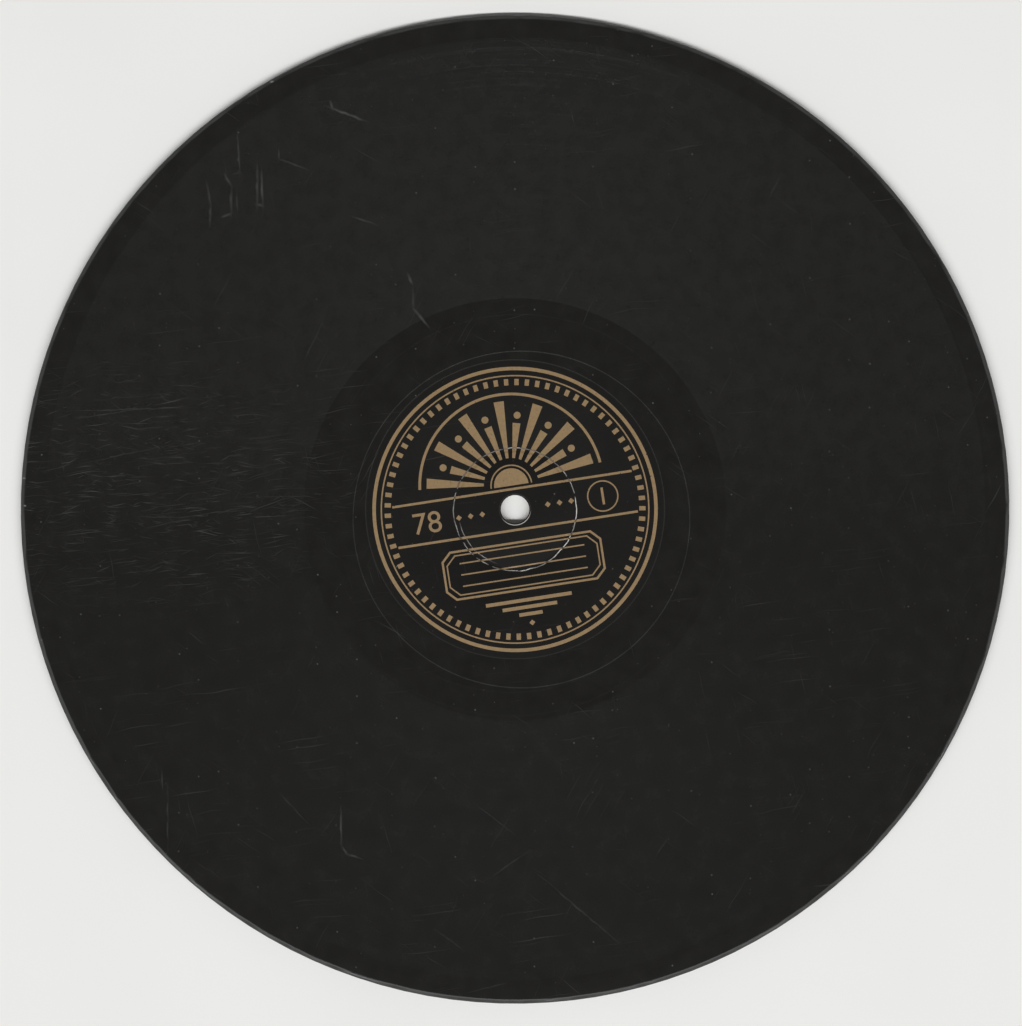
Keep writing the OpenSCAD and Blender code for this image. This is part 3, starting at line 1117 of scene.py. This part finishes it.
# Slate dust in the core: width and height of a grain, and how much it varies the shade
SLATE_W = 0.25
SLATE_H = 0.05
CORE_SHADES = (0.6, 1.5)


def core_shellac():
    """Coarse shellac and slate dust: dark brown, dull and gritty."""
    finish = bpy.context.scene.record_finish
    material, tree, shader, place = new_material("coarse_core_shellac")
    grit = node(tree, "TexNoise", {"Vector": place, "Scale": per_mm(SLATE_W), "Detail": 4})[0]
    tint = mottled(tree, finish.core_shellac, grit, *CORE_SHADES)
    relief = node(tree, "Bump", {"Height": grit, "Strength": 0.4, "Distance": SLATE_H * MM})[0]
    plug(tree, shader, {"Base Color": tint, "Normal": relief, "Roughness": 0.7, "IOR": 1.54})
    return material


# Fibres of the kraft paper along, across and through it, and how much they vary the shade
KRAFT_FIBRE = (1.5, 0.3, 0.1)
KRAFT_SHADES = (0.75, 1.2)


def kraft_paper():
    """Unbleached wrapping paper: warm brown, matt, with short fibres."""
    finish = bpy.context.scene.record_finish
    material, tree, shader, place = new_material("kraft_paper")
    grain = node(tree, "Mapping", {0: place, 3: Vector(KRAFT_FIBRE) * MM}, vector_type="TEXTURE")[0]
    fibre = node(tree, "TexNoise", {"Vector": grain, "Scale": 1, "Detail": 4})[0]
    tint = mottled(tree, finish.kraft, fibre, *KRAFT_SHADES)
    plug(tree, shader, {"Base Color": tint, "Roughness": 0.85, "IOR": 1.47})
    return material


# Clouds in the card of the floor, and how much they vary its shade
CARD_CLOUD_W = 60
CARD_SHADES = (0.985, 1.01)


def pale_card():
    """Smooth white card: a matt ground with hardly any cloud in it."""
    finish = bpy.context.scene.record_finish
    material, tree, shader, place = new_material("pale_card")
    cloud = node(tree, "TexNoise", {"Vector": place, "Scale": per_mm(CARD_CLOUD_W), "Detail": 3})[0]
    tint = mottled(tree, finish.floor, cloud, *CARD_SHADES)
    plug(tree, shader, {"Base Color": tint, "Roughness": 0.9, "Specular IOR Level": 0.1})
    return material


def dress(piece, material):
    """Gives a piece its material, and sets it on the one body."""
    piece.data.materials.clear()
    piece.data.materials.append(material)
    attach(piece, "root")


class RECORD_OT_playing_faces(bpy.types.Operator):
    """Models the two grooved facings"""

    bl_idname = "record.playing_faces"
    bl_label = "Playing faces"

    def execute(self, context):
        disc = context.scene.record_disc
        groove = context.scene.record_groove
        section, first_row = facing_section(disc, groove)
        face_a = spun("playing_face_a", section, groove.stop_direction)
        wind_groove(face_a, disc, groove, len(section), first_row)
        close_skin(face_a)
        face_b = turned_over(face_a, "playing_face_b")
        dress(face_a, pressed_shellac("pressed_shellac_a", SCUFFS))
        dress(face_b, pressed_shellac("pressed_shellac_b", SCUFFS_B))
        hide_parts("facing_a")
        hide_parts("facing_b")
        return {"FINISHED"}


class RECORD_OT_labels(bpy.types.Operator):
    """Models the two paper labels"""

    bl_idname = "record.labels"
    bl_label = "Paper labels"

    def execute(self, context):
        label_a = spun("label_paper_a", label_section(context.scene.record_disc), 0)
        close_skin(label_a)
        label_b = turned_over(label_a, "label_paper_b")
        paper = label_paper()
        dress(label_a, paper)
        dress(label_b, paper)
        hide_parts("label_a")
        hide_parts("label_b")
        return {"FINISHED"}


class RECORD_OT_label_print(bpy.types.Operator):
    """Prints the ornament on both labels"""

    bl_idname = "record.label_print"
    bl_label = "Label print"

    def execute(self, context):
        ink = bronze_ink()
        dress(label_print("label_print_a", "1"), ink)
        second = label_print("label_print_b_flat", "2")
        dress(turned_over(second, "label_print_b"), ink)
        bpy.data.objects.remove(second)
        return {"FINISHED"}


class RECORD_OT_inner_layers(bpy.types.Operator):
    """Finishes the core and the bonding papers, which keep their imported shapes"""

    bl_idname = "record.inner_layers"
    bl_label = "Inner layers"

    def execute(self, context):
        kraft = kraft_paper()
        for name, material in (
            ("core", core_shellac()), ("bonding_paper_a", kraft), ("bonding_paper_b", kraft)
        ):
            frame["nodes"][name].material_slots[0].material = material
        return {"FINISHED"}


class RECORD_OT_stage(bpy.types.Operator):
    """Sets the floor, the lamps, the world and the camera"""

    bl_idname = "record.stage"
    bl_label = "Stage"

    def execute(self, context):
        self.make_floor(context)
        self.make_lamps(context)
        self.make_world(context)
        self.make_camera(context)
        context.scene.view_settings.view_transform = "Standard"
        return {"FINISHED"}

    def make_floor(self, context):
        settings = context.scene.record_stage
        circle = {"vertices": FLOOR_STEPS, "radius": settings.floor_r, "fill_type": "NGON"}
        floor = added(bpy.ops.mesh.primitive_circle_add, "floor", **circle)
        floor.data.transform(Matrix.Translation((0, 0, -settings.floor_gap)))
        floor.data.materials.append(pale_card())

    def make_lamps(self, context):
        settings = context.scene.record_stage
        rise = settings.key_elevation
        lamp = bpy.data.lights.new("key", "AREA")
        lamp.shape = "RECTANGLE"
        lamp.size = settings.key_length
        lamp.size_y = settings.key_width
        lamp.energy = settings.key_power
        key = bpy.data.objects.new("key", lamp)
        key.location = Vector((0, -math.cos(rise), math.sin(rise))) * settings.key_distance
        key.rotation_euler = Vector(-key.location).to_track_quat("-Z", "Y").to_euler()
        context.scene.collection.objects.link(key)

    def make_world(self, context):
        settings = context.scene.record_stage
        world = bpy.data.worlds.new("studio")
        world.use_nodes = True
        context.scene.world = world
        tree = world.node_tree
        # Pale walls all round, most so in front and behind, that fade to a dim ceiling
        away = node(tree, "SeparateXYZ", {0: node(tree, "TexCoord")["Generated"]})
        wall = node(tree, "Math", {0: away[1], 1: away[1]}, operation="MULTIPLY")[0]
        fade = node(tree, "MapRange", {0: away[2], 1: 1, 2: 0})[0]
        fade = node(tree, "Math", {0: fade, 1: fade}, operation="MULTIPLY")[0]
        wall = add_up(tree, settings.wall_level, [(wall, settings.front_level)])
        level = add_up(tree, settings.ceiling_level, [(wall, fade)])
        plug(tree, tree.nodes["Background"].inputs, {"Color": (1, 1, 1, 1), "Strength": level})

    def make_camera(self, context):
        settings = context.scene.record_stage
        disc = context.scene.record_disc
        per_pixel = disc.disc_r / PHOTO_DISC_R
        lens = bpy.data.cameras.new("camera")
        lens.lens = settings.lens
        camera = bpy.data.objects.new("camera", lens)
        distance = settings.lens / lens.sensor_width * PHOTO_H * per_pixel
        camera.location = (
            (PHOTO_W / 2 - PHOTO_DISC_X) * per_pixel,
            (PHOTO_DISC_Y - PHOTO_H / 2) * per_pixel,
            disc.disc_t - disc.edge_r + distance,
        )
        context.scene.collection.objects.link(camera)
        context.scene.camera = camera


class RECORD_PT_panel(bpy.types.Panel):
    """Sizes, colours and steps of the record"""

    bl_idname = "RECORD_PT_panel"
    bl_label = "Shellac record"
    bl_space_type = "VIEW_3D"
    bl_region_type = "UI"
    bl_category = "Record"

    def draw(self, context):
        for name in SETTINGS:
            group = getattr(context.scene, name)
            box = self.layout.box()
            for key in group.__annotations__:
                box.prop(group, key)
        for operator in OPERATORS:
            self.layout.operator(operator.bl_idname)


SETTINGS = {
    "record_disc": DiscSizes,
    "record_groove": GrooveSizes,
    "record_print": PrintSizes,
    "record_finish": Finish,
    "record_stage": StageSettings,
}
OPERATORS = (
    RECORD_OT_playing_faces,
    RECORD_OT_labels,
    RECORD_OT_label_print,
    RECORD_OT_inner_layers,
    RECORD_OT_stage,
)


def register():
    for group in SETTINGS.values():
        bpy.utils.register_class(group)
    for name, group in SETTINGS.items():
        setattr(bpy.types.Scene, name, bpy.props.PointerProperty(type=group))
    for operator in OPERATORS:
        bpy.utils.register_class(operator)
    bpy.utils.register_class(RECORD_PT_panel)


def unregister():
    bpy.utils.unregister_class(RECORD_PT_panel)
    for operator in reversed(OPERATORS):
        bpy.utils.unregister_class(operator)
    for name, group in SETTINGS.items():
        delattr(bpy.types.Scene, name)
        bpy.utils.unregister_class(group)


def main():
    register()
    bpy.ops.record.stage()
    bpy.ops.record.playing_faces()
    bpy.ops.record.labels()
    bpy.ops.record.label_print()
    bpy.ops.record.inner_layers()


if __name__ == "__main__":
    main()
